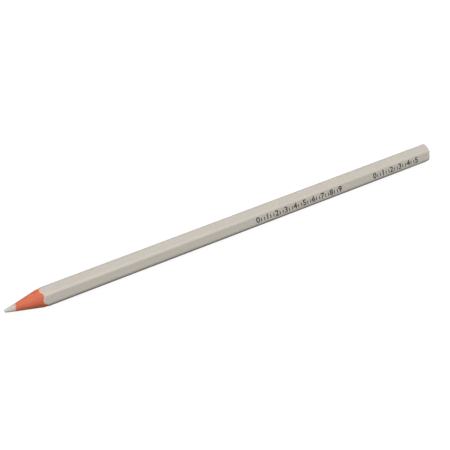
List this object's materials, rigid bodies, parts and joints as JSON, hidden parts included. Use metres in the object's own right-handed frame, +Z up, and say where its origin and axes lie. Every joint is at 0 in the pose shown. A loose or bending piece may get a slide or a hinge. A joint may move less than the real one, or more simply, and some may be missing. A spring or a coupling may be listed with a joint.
{
  "type": "chalk pencil",
  "caption": "Sharpened hexagonal wood-cased pencil with a pale chalk core, for marking dark or smooth surfaces.",
  "frame": {"origin": "on the resting flat, midway along the pencil", "axes": "+X from the sharpened tip to the sealed end, +Z up from the resting flat"},
  "size_m": [0.175, 0.0076, 0.007],
  "materials": {
    "chalk": "dry, matt pressed chalk",
    "stained_wood": "coral-stained softwood, freshly sharpened",
    "dried_glue": "clear dried wood glue",
    "cream_primer": "matt cream undercoat",
    "grey_lacquer": "satin warm-grey lacquer"
  },
  "bodies": {
    "root": {"chalk_core": "chalk", "upper_slat": "stained_wood", "lower_slat": "stained_wood", "glue_film": "dried_glue", "primer_coat": "cream_primer", "lacquer_coat": "grey_lacquer", "end_dip": "grey_lacquer"}
  },
  "joints": []
}
